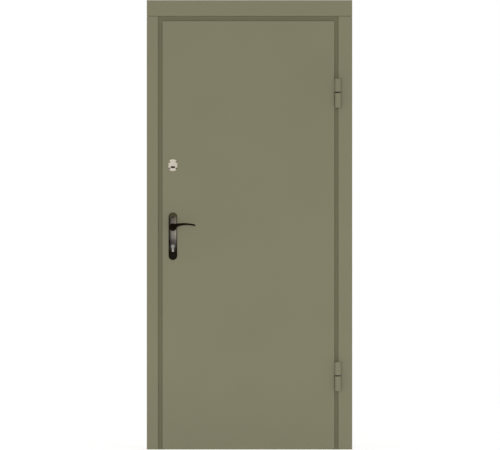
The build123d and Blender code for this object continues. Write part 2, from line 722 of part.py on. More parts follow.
# Long plates of the lever handles, bevelled up to a panel that is crowned along its length
with BuildPart() as outer_handle_plate:
    with BuildSketch(elevation(face_front)):
        with Locations((furniture_x, plate_middle)):
            SlotOverall(plate_length, plate_width, rotation=90)
    extrude(amount=plate_rim)
    with BuildSketch(elevation(face_front - plate_rim)):
        with Locations((furniture_x, plate_middle)):
            SlotOverall(plate_length, plate_width, rotation=90)
    with BuildSketch(elevation(plate_front)):
        with Locations((furniture_x, plate_middle)):
            SlotOverall(plate_length - 2 * plate_bevel, plate_width - 2 * plate_bevel, rotation=90)
    loft()
    with BuildSketch(Plane.YZ.offset(furniture_x - plate_width / 2)):
        with BuildLine():
            Line((face_front, plate_middle - plate_length / 2), (face_front, plate_middle + plate_length / 2))
            Line(
                (face_front, plate_middle + plate_length / 2),
                (plate_front + plate_crown, plate_middle + plate_length / 2),
            )
            ThreePointArc(
                (plate_front + plate_crown, plate_middle + plate_length / 2),
                (plate_front, plate_middle),
                (plate_front + plate_crown, plate_middle - plate_length / 2),
            )
            Line(
                (plate_front + plate_crown, plate_middle - plate_length / 2),
                (face_front, plate_middle - plate_length / 2),
            )
        make_face()
    extrude(amount=plate_width, mode=Mode.INTERSECT)
    fillet(outer_handle_plate.faces().sort_by(Axis.Y)[0].edges(), plate_soft_edge)
    with BuildSketch(elevation(face_front)):
        with Locations((furniture_x, lever_axis_height)):
            Circle(shank_radius)
        with Locations((furniture_x, cylinder_height)):
            Circle(cylinder_radius + cylinder_clearance)
        rectangle_between(
            (
                furniture_x - cylinder_leg_width / 2 - cylinder_clearance,
                cylinder_height + cylinder_radius - cylinder_length_down - cylinder_clearance,
            ),
            (furniture_x + cylinder_leg_width / 2 + cylinder_clearance, cylinder_height),
        )
    extrude(amount=plate_rim + plate_rise, mode=Mode.SUBTRACT)
    with Locations(elevation(plate_front + plate_crown).location):
        with Locations(
            (furniture_x, plate_middle - plate_length / 2 + plate_screw_inset),
            (furniture_x, plate_middle + plate_length / 2 - plate_screw_inset),
        ):
            CounterSinkHole(plate_screw_radius, plate_sink_radius, plate_rim + plate_rise)
outer_handle_plate.part.label = "outer_handle_plate"
export_step(outer_handle_plate.part, "parts/outer_handle_plate.step")

with BuildPart() as inner_handle_plate:
    mirror(outer_handle_plate.part, about=leaf_middle_plane)
inner_handle_plate.part.label = "inner_handle_plate"
export_step(inner_handle_plate.part, "parts/inner_handle_plate.step")

# Lock cylinder through both plates, with a keyway at each end
cylinder_half = leaf_middle_depth - plate_front + cylinder_proud
cylinder_foot = cylinder_height + cylinder_radius - cylinder_length_down

with BuildPart() as lock_cylinder:
    with BuildSketch(elevation(leaf_middle_depth)):
        with Locations((furniture_x, cylinder_height)):
            Circle(cylinder_radius)
        with Locations((furniture_x, cylinder_foot + cylinder_leg_width / 2)):
            Circle(cylinder_leg_width / 2)
        rectangle_between(
            (furniture_x - cylinder_leg_width / 2, cylinder_foot + cylinder_leg_width / 2),
            (furniture_x + cylinder_leg_width / 2, cylinder_height),
        )
    extrude(amount=cylinder_half, both=True)
    for side in (-1, 1):
        with BuildSketch(elevation(leaf_middle_depth + side * cylinder_half)):
            with Locations((furniture_x, cylinder_height)):
                Rectangle(keyway_width, keyway_height)
        extrude(amount=side * keyway_depth, mode=Mode.SUBTRACT)
lock_cylinder.part.label = "lock_cylinder"
export_step(lock_cylinder.part, "parts/lock_cylinder.step")

# Levers: a turned neck with a shank in the plate, and a lofted arm towards the hinge side
neck_base = plate_front - lever_lift
head_base = neck_base - collar_height - waist_height
head_middle = head_base - head_height / 2

with BuildPart() as outer_lever:
    with BuildSketch(elevation(face_front)):
        with Locations((furniture_x, lever_axis_height)):
            Circle(shank_radius - shank_clearance)
    extrude(amount=plate_rim + plate_rise + lever_lift)
    with BuildSketch(elevation(neck_base)):
        with Locations((furniture_x, lever_axis_height)):
            Circle(collar_radius)
    with BuildSketch(elevation(neck_base - collar_height)):
        with Locations((furniture_x, lever_axis_height)):
            Circle(waist_radius)
    loft()
    with BuildSketch(elevation(neck_base - collar_height)):
        with Locations((furniture_x, lever_axis_height)):
            Circle(waist_radius)
    extrude(amount=waist_height)
    with BuildSketch(elevation(head_base)):
        with Locations((furniture_x, lever_axis_height)):
            Circle(head_radius)
    extrude(amount=head_height)
    fillet(outer_lever.faces().sort_by(Axis.Y)[0].edges(), head_round)
    for reach, rise, tall, deep in lever_stations:
        station = Plane(
            origin=(furniture_x + reach, head_middle, lever_axis_height + rise),
            x_dir=(0, 1, 0),
            z_dir=(1, 0, 0),
        )
        with BuildSketch(station):
            Ellipse(deep / 2, tall / 2)
    loft()
    with BuildSketch(elevation(face_front)):
        with Locations((furniture_x, lever_axis_height)):
            Rectangle(spindle_side, spindle_side)
    extrude(amount=socket_depth, mode=Mode.SUBTRACT)
outer_lever.part.label = "outer_lever"
export_step(outer_lever.part, "parts/outer_lever.step")

with BuildPart() as inner_lever:
    mirror(outer_lever.part, about=leaf_middle_plane)
inner_lever.part.label = "inner_lever"
export_step(inner_lever.part, "parts/inner_lever.step")

with BuildPart() as lever_spindle:
    with BuildSketch(elevation(leaf_middle_depth)):
        with Locations((furniture_x, lever_axis_height)):
            Rectangle(spindle_side, spindle_side)
    extrude(amount=leaf_thickness / 2 + socket_depth, both=True)
lever_spindle.part.label = "lever_spindle"
export_step(lever_spindle.part, "parts/lever_spindle.step")
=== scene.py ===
"""Finishes, fasteners, weld beads and a plain studio for a painted steel entrance door."""

import json
import math

import bmesh
import bpy
from bpy.props import FloatProperty, FloatVectorProperty, IntProperty, PointerProperty
from bpy.types import NodeSocket, Operator, Panel, PropertyGroup
from mathutils import Matrix, Vector


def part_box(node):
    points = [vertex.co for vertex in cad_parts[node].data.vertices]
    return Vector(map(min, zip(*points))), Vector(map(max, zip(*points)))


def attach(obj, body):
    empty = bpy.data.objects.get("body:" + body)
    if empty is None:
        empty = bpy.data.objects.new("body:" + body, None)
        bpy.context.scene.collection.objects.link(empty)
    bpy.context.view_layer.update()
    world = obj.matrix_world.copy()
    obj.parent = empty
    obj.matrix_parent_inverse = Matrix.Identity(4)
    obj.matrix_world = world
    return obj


bl_info = {
    "name": "Painted Steel Entrance Door",
    "version": (1, 0, 0),
    "blender": (4, 5, 0),
    "location": "3D View > Sidebar > Door",
    "description": "Finishes, fasteners and studio for a painted steel entrance door",
    "category": "Object",
}

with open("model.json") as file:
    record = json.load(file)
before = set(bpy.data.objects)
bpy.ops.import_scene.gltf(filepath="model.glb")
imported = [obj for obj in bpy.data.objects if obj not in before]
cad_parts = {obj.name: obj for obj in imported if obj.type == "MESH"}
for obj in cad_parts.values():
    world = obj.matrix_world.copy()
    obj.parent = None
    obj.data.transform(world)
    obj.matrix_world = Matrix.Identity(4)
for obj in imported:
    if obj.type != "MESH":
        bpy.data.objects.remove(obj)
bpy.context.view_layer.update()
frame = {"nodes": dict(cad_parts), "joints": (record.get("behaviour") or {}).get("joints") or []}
lever_joint = next(joint for joint in frame["joints"] if joint["name"] == "lever_turn")
lever_axis_x = lever_joint["pos_m"][0]
lever_axis_z = lever_joint["pos_m"][2]

# Sizes of the solids that their boxes don't give, in metres
hinge_tail_thickness = 0.006
faceplate_thickness = 0.003
cylinder_radius = 0.0085
neck_radius = 0.012
plate_fall_at_screws = 0.0024
key_slot_drop = 0.009
key_slot_width = 0.020
key_slot_height = 0.0065

# Places of the small pieces on the solids, in metres
weld_end_room = 0.003
leaf_weld_top_room = 0.006
leaf_weld_depth = 0.0008
fixing_screw_drop = 0.004
escutcheon_screw_lift = 0.0001
grub_distance = 0.0135

# Sizes of the cylinder's plug, in metres: its keyway is an outline across and up
plug_radius = 0.0066
plug_brow_radius = 0.0064
plug_rise = 0.0004
keyway_depth = 0.0005
keyway_outline = (
    (-0.0011, -0.0045), (0.0003, -0.0045), (0.0003, -0.0020), (0.0011, -0.0012), (0.0011, 0.0012),
    (0.0004, 0.0018), (0.0004, 0.0045), (-0.0008, 0.0045), (-0.0008, 0.0008), (-0.0011, 0.0002),
)

# Sides of the round pieces
screw_sides = 28
weld_sides = 10
plug_sides = 36
grub_sides = 24
socket_sides = 6

# Colours of the steel and grease that have no setting, and of the painted shade at the hinge bearings and
# the keyholes
pin_steel = (0.42, 0.41, 0.39)
bolt_steel = (0.36, 0.355, 0.345)
spindle_steel = (0.40, 0.40, 0.40)
escutcheon_screw_steel = (0.022, 0.019, 0.012)
plate_screw_steel = (0.020, 0.016, 0.011)
oiled_steel_dark = (0.014, 0.013, 0.012)
oiled_steel_light = (0.030, 0.028, 0.025)
bearing_grease = (0.012, 0.011, 0.008)
# Painted shade laid on the knuckles' coat at the bearing gaps
bearing_gap_shade = (0.010, 0.009, 0.006)
# Painted shade laid round the keyholes
keyhole_shade = (0.020, 0.016, 0.009)


class DoorPaintSettings(PropertyGroup):
    """Powder coat on the leaf, the frame, the casings and the hinges."""

    colour: FloatVectorProperty(
        name="Paint colour",
        description="Colour of the satin powder coat",
        subtype="COLOR",
        size=3,
        min=0.0,
        max=1.0,
        default=(0.1597, 0.1511, 0.0925),
    )
    # The frame's coat is darker than the casings' as painted shade for the groove between casing and leaf,
    # where the frame shows
    frame_shaded_colour: FloatVectorProperty(
        name="Frame colour",
        description="Colour of the deeper coat on the frame",
        subtype="COLOR",
        size=3,
        min=0.0,
        max=1.0,
        default=(0.1168, 0.1118, 0.0594),
    )
    tone_spread: FloatProperty(
        name="Tone spread",
        description="How far the coat's tone drifts over the sheet",
        subtype="FACTOR",
        min=0.0,
        max=0.5,
        default=0.03,
    )
    roughness: FloatProperty(
        name="Roughness",
        description="Middle roughness of the coat",
        subtype="FACTOR",
        min=0.0,
        max=1.0,
        default=0.46,
    )
    roughness_spread: FloatProperty(
        name="Roughness spread",
        description="How far the coat's roughness drifts to either side",
        subtype="FACTOR",
        min=0.0,
        max=0.5,
        default=0.02,
    )
    peel_size: FloatProperty(
        name="Orange peel size",
        description="Width of one dimple of the sprayed coat",
        unit="LENGTH",
        min=0.0005,
        default=0.0022,
    )
    peel_depth: FloatProperty(
        name="Orange peel depth",
        description="Depth of the dimples of the sprayed coat",
        unit="LENGTH",
        min=0.0,
        default=0.00006,
    )


class DoorMetalSettings(PropertyGroup):
    """Metals and rubber of the furniture, the locks and the seals."""

    escutcheon_colour: FloatVectorProperty(
        name="Satin nickel",
        description="Colour of the upper lock's escutcheons",
        subtype="COLOR",
        size=3,
        min=0.0,
        max=1.0,
        default=(0.675, 0.612, 0.508),
    )
    cylinder_colour: FloatVectorProperty(
        name="Cylinder nickel",
        description="Colour of the lock cylinder",
        subtype="COLOR",
        size=3,
        min=0.0,
        max=1.0,
        default=(0.33, 0.32, 0.295),
    )
    lever_colour: FloatVectorProperty(
        name="Lever black",
        description="Colour of the black nickel on the levers",
        subtype="COLOR",
        size=3,
        min=0.0,
        max=1.0,
        default=(0.0075, 0.0046, 0.0026),
    )
    zinc_colour: FloatVectorProperty(
        name="Zinc",
        description="Colour of the faceplates and strike plates",
        subtype="COLOR",
        size=3,
        min=0.0,
        max=1.0,
        default=(0.50, 0.50, 0.48),
    )
    rubber_colour: FloatVectorProperty(
        name="Rubber",
        description="Colour of the seals",
        subtype="COLOR",
        size=3,
        min=0.0,
        max=1.0,
        default=(0.018, 0.018, 0.018),
    )


class DoorFastenerSettings(PropertyGroup):
    """Screws and weld beads."""

    plate_screw_radius: FloatProperty(
        name="Plate screw radius",
        description="Head radius of the screws in the long plates",
        unit="LENGTH",
        default=0.0039,
    )
    plate_screw_inset: FloatProperty(
        name="Plate screw inset",
        description="Distance of the plate screws from the plate's ends",
        unit="LENGTH",
        default=0.023,
    )
    escutcheon_screw_radius: FloatProperty(
        name="Escutcheon screw radius",
        description="Head radius of the screws in the escutcheons",
        unit="LENGTH",
        default=0.0035,
    )
    escutcheon_screw_spacing: FloatVectorProperty(
        name="Escutcheon screw spacing",
        description="Distance between the escutcheon screws across and up",
        unit="LENGTH",
        size=2,
        default=(0.032, 0.030),
    )
    lock_screw_radius: FloatProperty(
        name="Lock screw radius",
        description="Head radius of the screws in the faceplates and strike plates",
        unit="LENGTH",
        default=0.0042,
    )
    lock_screw_inset: FloatProperty(
        name="Lock screw inset",
        description="Distance of the lock screws from the plates' ends",
        unit="LENGTH",
        default=0.010,
    )
    fixing_screw_radius: FloatProperty(
        name="Fixing screw radius",
        description="Head radius of the screw that holds the cylinder",
        unit="LENGTH",
        default=0.0034,
    )
    grub_radius: FloatProperty(
        name="Grub screw radius",
        description="Radius of the grub screws in the necks of the levers",
        unit="LENGTH",
        default=0.0024,
    )
    weld_radius: FloatProperty(
        name="Weld radius",
        description="Radius of the weld beads along the hinge tails",
        unit="LENGTH",
        default=0.0028,
    )
    weld_pitch: FloatProperty(
        name="Weld pitch",
        description="Distance between two ripples of a weld bead",
        unit="LENGTH",
        default=0.0026,
    )


class DoorStudioSettings(PropertyGroup):
    """Floor, light and camera."""

    camera_distance: FloatProperty(
        name="Camera distance",
        description="Distance of the camera from the leaf's face",
        unit="LENGTH",
        default=30.0,
    )
    picture_width: FloatProperty(
        name="Picture width",
        description="Width of the view at the leaf's face",
        unit="LENGTH",
        default=2.3363,
    )
    picture_middle: FloatVectorProperty(
        name="Picture middle",
        description="Point of the leaf's face in the middle of the view, across and up",
        unit="LENGTH",
        size=2,
        default=(0.0023, 1.0487),
    )
    backdrop_strength: FloatProperty(
        name="Backdrop strength",
        description="Brightness of the white surroundings that the camera sees",
        min=0.0,
        default=1.0,
    )
    fill_strength: FloatProperty(
        name="Fill strength",
        description="Brightness of the even light all round",
        min=0.0,
        default=0.38,
    )
    reflection_strength: FloatProperty(
        name="Reflection strength",
        description="Brightness of the lightest part of the surroundings as the metal mirrors them",
        min=0.0,
        default=1.38,
    )
    key_strength: FloatProperty(
        name="Key strength",
        description="Strength of the far soft lights, one in front and one behind",
        min=0.0,
        default=1.76,
    )
    key_softness: FloatProperty(
        name="Key softness",
        description="Angle across each far soft light, which softens its shadows",
        subtype="ANGLE",
        default=math.radians(11.0),
    )
    key_direction: FloatVectorProperty(
        name="Key direction",
        description="Direction from the door towards the far soft light in front",
        subtype="DIRECTION",
        size=3,
        default=(-0.04, -1.0, 0.05),
    )
    floor_radius: FloatProperty(
        name="Floor radius",
        description="Radius of the round floor",
        unit="LENGTH",
        default=9.0,
    )
    floor_drop: FloatProperty(
        name="Floor drop",
        description="Distance of the floor below the door's foot",
        unit="LENGTH",
        default=0.001,
    )
    floor_glow: FloatProperty(
        name="Floor glow",
        description="Light that the floor adds by itself, to stay pale in the open",
        min=0.0,
        default=0.58,
    )
    floor_sides: IntProperty(
        name="Floor sides",
        description="Number of sides of the round floor",
        min=12,
        default=96,
    )


# Materials

# Usual spread of the noise, which reaches its ends only seldom
noise_low = 0.3
noise_high = 0.7


def add_position(tree):
    """Position on the piece in metres."""
    return tree.nodes.new("ShaderNodeTexCoord").outputs["Object"]


def start_material(name):
    """New material with its node tree, its shader and the position on the piece."""
    material = bpy.data.materials.new(name)
    material.use_nodes = True
    tree = material.node_tree
    return material, tree, tree.nodes["Principled BSDF"], add_position(tree)


def add_noise(tree, position, scale, detail, stretch=None):
    """Noise over the piece, with so many features a metre, drawn out along the axes by stretch."""
    if stretch is not None:
        mapping = tree.nodes.new("ShaderNodeMapping")
        mapping.inputs["Scale"].default_value = stretch
        tree.links.new(position, mapping.inputs["Vector"])
        position = mapping.outputs["Vector"]
    noise = tree.nodes.new("ShaderNodeTexNoise")
    noise.inputs["Scale"].default_value = scale
    noise.inputs["Detail"].default_value = detail
    tree.links.new(position, noise.inputs["Vector"])
    return noise.outputs["Fac"]


def map_range(tree, source, low, high, from_low=noise_low, from_high=noise_high):
    """Source stretched from its usual spread to the range from low to high."""
    node = tree.nodes.new("ShaderNodeMapRange")
    node.inputs["From Min"].default_value = from_low
    node.inputs["From Max"].default_value = from_high
    node.inputs["To Min"].default_value = low
    node.inputs["To Max"].default_value = high
    tree.links.new(source, node.inputs["Value"])
    return node.outputs["Result"]


def feed(tree, target, value):
    """Links another node's socket to the target, or sets the target to a plain value."""
    if isinstance(value, NodeSocket):
        tree.links.new(value, target)
    else:
        target.default_value = value


def add_math(tree, kind, operation, *values):
    """Node of the kind Math or VectorMath, whose inputs are sockets or plain values."""
    node = tree.nodes.new(f"ShaderNode{kind}")
    node.operation = operation
    for target, value in zip(node.inputs, values):
        feed(tree, target, value)
    return node


def split_axes(tree, position):
    """Sockets of a position's parts along X, Y and Z."""
    split = tree.nodes.new("ShaderNodeSeparateXYZ")
    tree.links.new(position, split.inputs["Vector"])
    return split.outputs


def add_ramp(tree, source, stops):
    """Colour read from source through stops of position and colour."""
    ramp = tree.nodes.new("ShaderNodeValToRGB")
    elements = ramp.color_ramp.elements
    while len(elements) < len(stops):
        elements.new(1.0)
    for element, (place, colour) in zip(elements, stops):
        element.position = place
        element.color = (*colour, 1.0)
    tree.links.new(source, ramp.inputs["Fac"])
    return ramp.outputs["Color"]


def add_mix(tree, factor, first, second, blend="MIX"):
    """Colour that goes from the first to the second as the factor grows."""
    mix = tree.nodes.new("ShaderNodeMix")
    mix.data_type = "RGBA"
    mix.blend_type = blend
    feed(tree, mix.inputs["Factor"], factor)
    feed(tree, mix.inputs["A"], first)
    feed(tree, mix.inputs["B"], second)
    return mix.outputs["Result"]


def lay_over(tree, factor, colour):
    """Lays a plain colour over the shader's own, as far as the factor says."""
    target = tree.nodes["Principled BSDF"].inputs["Base Color"]
    under = target.links[0].from_socket
    tree.links.new(add_mix(tree, factor, under, (*colour, 1.0)), target)


def add_bump(tree, shader, height, depth):
    """Surface relief of that depth in metres."""
    bump = tree.nodes.new("ShaderNodeBump")
    bump.inputs["Strength"].default_value = 1.0
    bump.inputs["Distance"].default_value = depth
    tree.links.new(height, bump.inputs["Height"])
    tree.links.new(bump.outputs["Normal"], shader.inputs["Normal"])


def tint(colour, factor):
    """Colour made lighter or darker."""
    return tuple(min(1.0, channel * factor) for channel in colour)


def spread_tones(colour, spread):
    """Ramp stops from a darker to a lighter tone of a colour, over the noise's usual spread."""
    return ((noise_low, tint(colour, 1.0 - spread)), (noise_high, tint(colour, 1.0 + spread)))


def grey_stops(levels):
    """Ramp stops of plain greys from pairs of position and level."""
    return [(place, (level, level, level)) for place, level in levels]


def make_paint(name, settings, colour):
    """Satin powder coat: a slow drift of tone, a patchy sheen and fine orange peel."""
    material, tree, shader, position = start_material(name)
    drift = add_noise(tree, position, scale=2.6, detail=5.0)
    coat = add_ramp(tree, drift, spread_tones(colour, settings.tone_spread))
    tree.links.new(coat, shader.inputs["Base Color"])
    sheen = add_noise(tree, position, scale=19.0, detail=3.0)
    matt = settings.roughness + settings.roughness_spread
    glossy = settings.roughness - settings.roughness_spread
    tree.links.new(map_range(tree, sheen, glossy, matt), shader.inputs["Roughness"])
    peel = add_noise(tree, position, scale=1.0 / settings.peel_size, detail=2.0)
    add_bump(tree, shader, peel, settings.peel_depth)
    return material


def make_metal(name, colour, rough, grain, stretch=None):
    """Bare or plated metal with fine grain, drawn out where it is brushed."""
    tone_spread = 0.06
    rough_spread = 0.05
    grain_depth = 0.00001
    material, tree, shader, position = start_material(name)
    shader.inputs["Metallic"].default_value = 1.0
    lines = add_noise(tree, position, scale=grain, detail=3.0, stretch=stretch)
    tree.links.new(add_ramp(tree, lines, spread_tones(colour, tone_spread)), shader.inputs["Base Color"])
    clouds = add_noise(tree, position, scale=45.0, detail=3.0)
    sheen = map_range(tree, clouds, rough - rough_spread, rough + rough_spread)
    tree.links.new(sheen, shader.inputs["Roughness"])
    add_bump(tree, shader, lines, grain_depth)
    return material


def make_black_nickel(name, colour):
    """Polished black nickel with faint handling marks and dark edges."""
    polish = 0.16
    handled = 0.30
    smear_depth = 0.00001
    material, tree, shader, position = start_material(name)
    shader.inputs["Metallic"].default_value = 1.0
    shader.inputs["Specular Tint"].default_value = (0.06, 0.05, 0.04, 1.0)
    marks = add_noise(tree, position, scale=60.0, detail=4.0)
    stops = ((0.35, colour), (0.7, tint(colour, 1.8)))
    tree.links.new(add_ramp(tree, marks, stops), shader.inputs["Base Color"])
    smears = add_noise(tree, position, scale=130.0, detail=3.0, stretch=(1.0, 1.0, 0.35))
    tree.links.new(map_range(tree, smears, polish, handled), shader.inputs["Roughness"])
    add_bump(tree, shader, smears, smear_depth)
    return material


def make_rubber(name, colour):
    """Matt rubber with a fine extruded grain and a trace of dust."""
    grain_depth = 0.00008
    material, tree, shader, position = start_material(name)
    dust = add_noise(tree, position, scale=35.0, detail=5.0)
    stops = ((0.45, colour), (0.8, tint(colour, 2.2)))
    tree.links.new(add_ramp(tree, dust, stops), shader.inputs["Base Color"])
    grain = add_noise(tree, position, scale=700.0, detail=2.0, stretch=(1.0, 1.0, 0.05))
    tree.links.new(map_range(tree, grain, low=0.65, high=0.85), shader.inputs["Roughness"])
    add_bump(tree, shader, grain, grain_depth)
    return material


# Pieces


def finish_nodes(material, *names):
    """Puts the material on solids of the frame."""
    for name in names:
        data = frame["nodes"][name].data
        data.materials.clear()
        data.materials.append(material)


def add_piece(name, mesh, material, body):
    """Object of the finished mesh that moves with a body."""
    bmesh.ops.recalc_face_normals(mesh, faces=mesh.faces)
    data = bpy.data.meshes.new(name)
    mesh.to_mesh(data)
    mesh.free()
    data.materials.append(material)
    piece = bpy.data.objects.new(name, data)
    bpy.context.scene.collection.objects.link(piece)
    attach(piece, body)


def outward_face(low, high, facing_y):
    """Y of the side of a box that faces away from the leaf."""
    return low.y if facing_y < 0 else high.y


def facing(place, normal):
    """Matrix that puts a form made along +Z at a place, with +Z along the normal."""
    turn = Vector(normal).to_track_quat("Z", "Y").to_matrix().to_4x4()
    return Matrix.Translation(place) @ turn


def add_ring(mesh, matrix, radius, height, sides):
    """Ring of vertices round the local Z axis."""
    corners = []
    for step in range(sides):
        angle = 2.0 * math.pi * step / sides
        corner = Vector((radius * math.cos(angle), radius * math.sin(angle), height))
        corners.append(mesh.verts.new(matrix @ corner))
    return corners


def add_outline(mesh, matrix, outline, height, share=1.0):
    """Vertices along an outline at a height, drawn in to a share of its size."""
    return [mesh.verts.new(matrix @ Vector((x * share, y * share, height))) for x, y in outline]


def join_rings(mesh, first, second):
    """Band of faces between two rings of as many vertices."""
    for index, corner in enumerate(first):
        following = (index + 1) % len(first)
        mesh.faces.new((corner, first[following], second[following], second[index]))


def close_ring(mesh, ring):
    """Loop of edges round a ring, for filling."""
    edges = []
    for index, corner in enumerate(ring):
        following = ring[(index + 1) % len(ring)]
        edge = mesh.edges.get((corner, following))
        edges.append(edge or mesh.edges.new((corner, following)))
    return edges


def fill_between(mesh, outer, inner):
    """Flat faces from an outer ring to the rim of a recess inside it."""
    edges = close_ring(mesh, outer) + close_ring(mesh, inner)
    bmesh.ops.triangle_fill(mesh, use_beauty=True, edges=edges)


def add_screw(mesh, place, normal, radius, turn, rise=0.0004):
    """Raised countersunk screw head with a cross recess."""
    skirt_radius = radius * 0.82
    skirt_depth = radius * 0.30
    edge_depth = radius * 0.02
    brow_radius = radius * 0.93
    brow_rise = rise * 0.45
    arm = radius * 0.62
    half = radius * 0.15
    recess_depth = radius * 0.24
    recess_taper = 0.72
    matrix = facing(place, normal) @ Matrix.Rotation(turn, 4, "Z")
    skirt = add_ring(mesh, matrix, skirt_radius, -skirt_depth, screw_sides)
    edge = add_ring(mesh, matrix, radius, -edge_depth, screw_sides)
    brow = add_ring(mesh, matrix, brow_radius, brow_rise, screw_sides)
    join_rings(mesh, skirt, edge)
    join_rings(mesh, edge, brow)
    outline = (
        (arm, -half), (arm, half), (half, half), (half, arm), (-half, arm), (-half, half),
        (-arm, half), (-arm, -half), (-half, -half), (-half, -arm), (half, -arm), (half, -half),
    )
    lip = add_outline(mesh, matrix, outline, rise)
    floor = add_outline(mesh, matrix, outline, -recess_depth, recess_taper)
    fill_between(mesh, brow, lip)
    join_rings(mesh, lip, floor)
    mesh.faces.new(floor)
    mesh.faces.new(skirt)


def add_weld(mesh, start, end, radius, pitch):
    """Rippled weld bead along a straight corner, with tapered ends and an unsteady width."""
    steps_to_a_ripple = 4
    fewest_steps = 12
    ripple_foot = 0.90
    ripple_rise = 0.14
    end_share = 0.35
    # Share of the radius, rate along the bead and phase of each slow change of width
    wanders = ((0.06, 410.0, 0.0), (0.04, 930.0, 1.3))
    start = Vector(start)
    end = Vector(end)
    length = (end - start).length
    steps = max(fewest_steps, int(length / pitch * steps_to_a_ripple))
    matrix = facing(start, end - start)
    last = None
    for step in range(steps + 1):
        along = length * step / steps
        ripple = ripple_foot + ripple_rise * abs(math.sin(math.pi * along / pitch))
        wander = sum(share * math.sin(along * rate + phase) for share, rate, phase in wanders)
        taper = min(1.0, end_share + min(along, length - along) / (2.0 * radius))
        ring = add_ring(mesh, matrix, radius * taper * (ripple + wander), along, weld_sides)
        if last:
            join_rings(mesh, last, ring)
        else:
            mesh.faces.new(ring)
        last = ring
    mesh.faces.new(last)


# Operators


class DOOR_OT_paint_frame(Operator):
    """Coats the jambs, the head and the threshold of the frame."""

    bl_idname = "door.paint_frame"
    bl_label = "Paint Frame"

    def execute(self, context):
        settings = context.scene.door_paint
        # Darker coat: painted shade for the groove in which the frame shows
        paint = make_paint("frame_paint", settings, settings.frame_shaded_colour)
        finish_nodes(paint, "lock_jamb", "hinge_jamb", "frame_head", "threshold")
        return {"FINISHED"}


class DOOR_OT_paint_casings(Operator):
    """Coats the three folded casings."""

    bl_idname = "door.paint_casings"
    bl_label = "Paint Casings"

    def execute(self, context):
        settings = context.scene.door_paint
        paint = make_paint("casing_paint", settings, settings.colour)
        finish_nodes(paint, "lock_casing", "hinge_casing", "head_casing")
        return {"FINISHED"}


class DOOR_OT_paint_leaf(Operator):
    """Coats the sheets and the rim of the leaf."""

    bl_idname = "door.paint_leaf"
    bl_label = "Paint Leaf"

    def execute(self, context):
        settings = context.scene.door_paint
        paint = make_paint("leaf_paint", settings, settings.colour)
        finish_nodes(paint, "leaf_outer_sheet", "leaf_inner_sheet", "leaf_lock_stile")
        finish_nodes(paint, "leaf_hinge_stile", "leaf_top_rail", "leaf_bottom_rail")
        return {"FINISHED"}


class DOOR_OT_fit_seals(Operator):
    """Gives the seals their rubber."""

    bl_idname = "door.fit_seals"
    bl_label = "Fit Seals"

    def execute(self, context):
        rubber = make_rubber("seal_rubber", context.scene.door_metal.rubber_colour)
        finish_nodes(rubber, "lock_seal", "hinge_seal", "head_seal", "threshold_seal")
        return {"FINISHED"}


class DOOR_OT_hang_hinges(Operator):
    """Paints the knuckles, finishes pins and bearings and lays the weld beads."""

    bl_idname = "door.hang_hinges"
    bl_label = "Hang Hinges"

    def execute(self, context):
        paint = self.make_hinge_paint(context.scene.door_paint)
        steel = make_metal("hinge_steel", pin_steel, rough=0.28, grain=900.0, stretch=(1.0, 1.0, 0.04))
        grease = make_metal("hinge_bearing", bearing_grease, rough=0.45, grain=300.0)
        leaf_low, leaf_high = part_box("leaf_outer_sheet")
        tail_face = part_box("hinge_casing")[0].x - hinge_tail_thickness
        frame_corner = (tail_face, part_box("hinge_jamb")[0].y)
        leaf_corner = (leaf_high.x, leaf_low.y + leaf_weld_depth)
        for place in ("upper", "lower"):
            finish_nodes(paint, f"{place}_hinge_frame_knuckle", f"{place}_hinge_leaf_knuckle")
            finish_nodes(steel, f"{place}_hinge_pin")
            finish_nodes(grease, f"{place}_hinge_washer")
            low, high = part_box(f"{place}_hinge_frame_knuckle")
            bead = self.make_bead(context, frame_corner, low.z + weld_end_room, high.z - weld_end_room)
            add_piece(f"{place}_hinge_frame_weld", bead, paint, "frame")
            low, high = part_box(f"{place}_hinge_leaf_knuckle")
            bead = self.make_bead(context, leaf_corner, low.z + weld_end_room, high.z - leaf_weld_top_room)
            add_piece(f"{place}_hinge_leaf_weld", bead, paint, "leaf")
        return {"FINISHED"}

    def make_bead(self, context, corner, bottom, top):
        """Upright weld bead along a corner."""
        fasteners = context.scene.door_fasteners
        bead = bmesh.new()
        add_weld(bead, (*corner, bottom), (*corner, top), fasteners.weld_radius, fasteners.weld_pitch)
        return bead

    def make_hinge_paint(self, settings):
        """Coat of the knuckles, with a thin uneven line of painted shade along both bearing gaps."""
        narrow = 0.0025
        wide = 0.0032
        material = make_paint("hinge_paint", settings, settings.colour)
        tree = material.node_tree
        position = add_position(tree)
        height = split_axes(tree, position)["Z"]
        reach = map_range(tree, add_noise(tree, position, scale=240.0, detail=3.0), narrow, wide)
        for place in ("upper", "lower"):
            low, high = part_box(f"{place}_hinge_washer")
            # Painted shade: darkens the coat within a few millimetres of each bearing gap
            near = add_math(tree, "Math", "COMPARE", height, (low.z + high.z) / 2.0, reach)
            lay_over(tree, near.outputs["Value"], bearing_gap_shade)
        return material


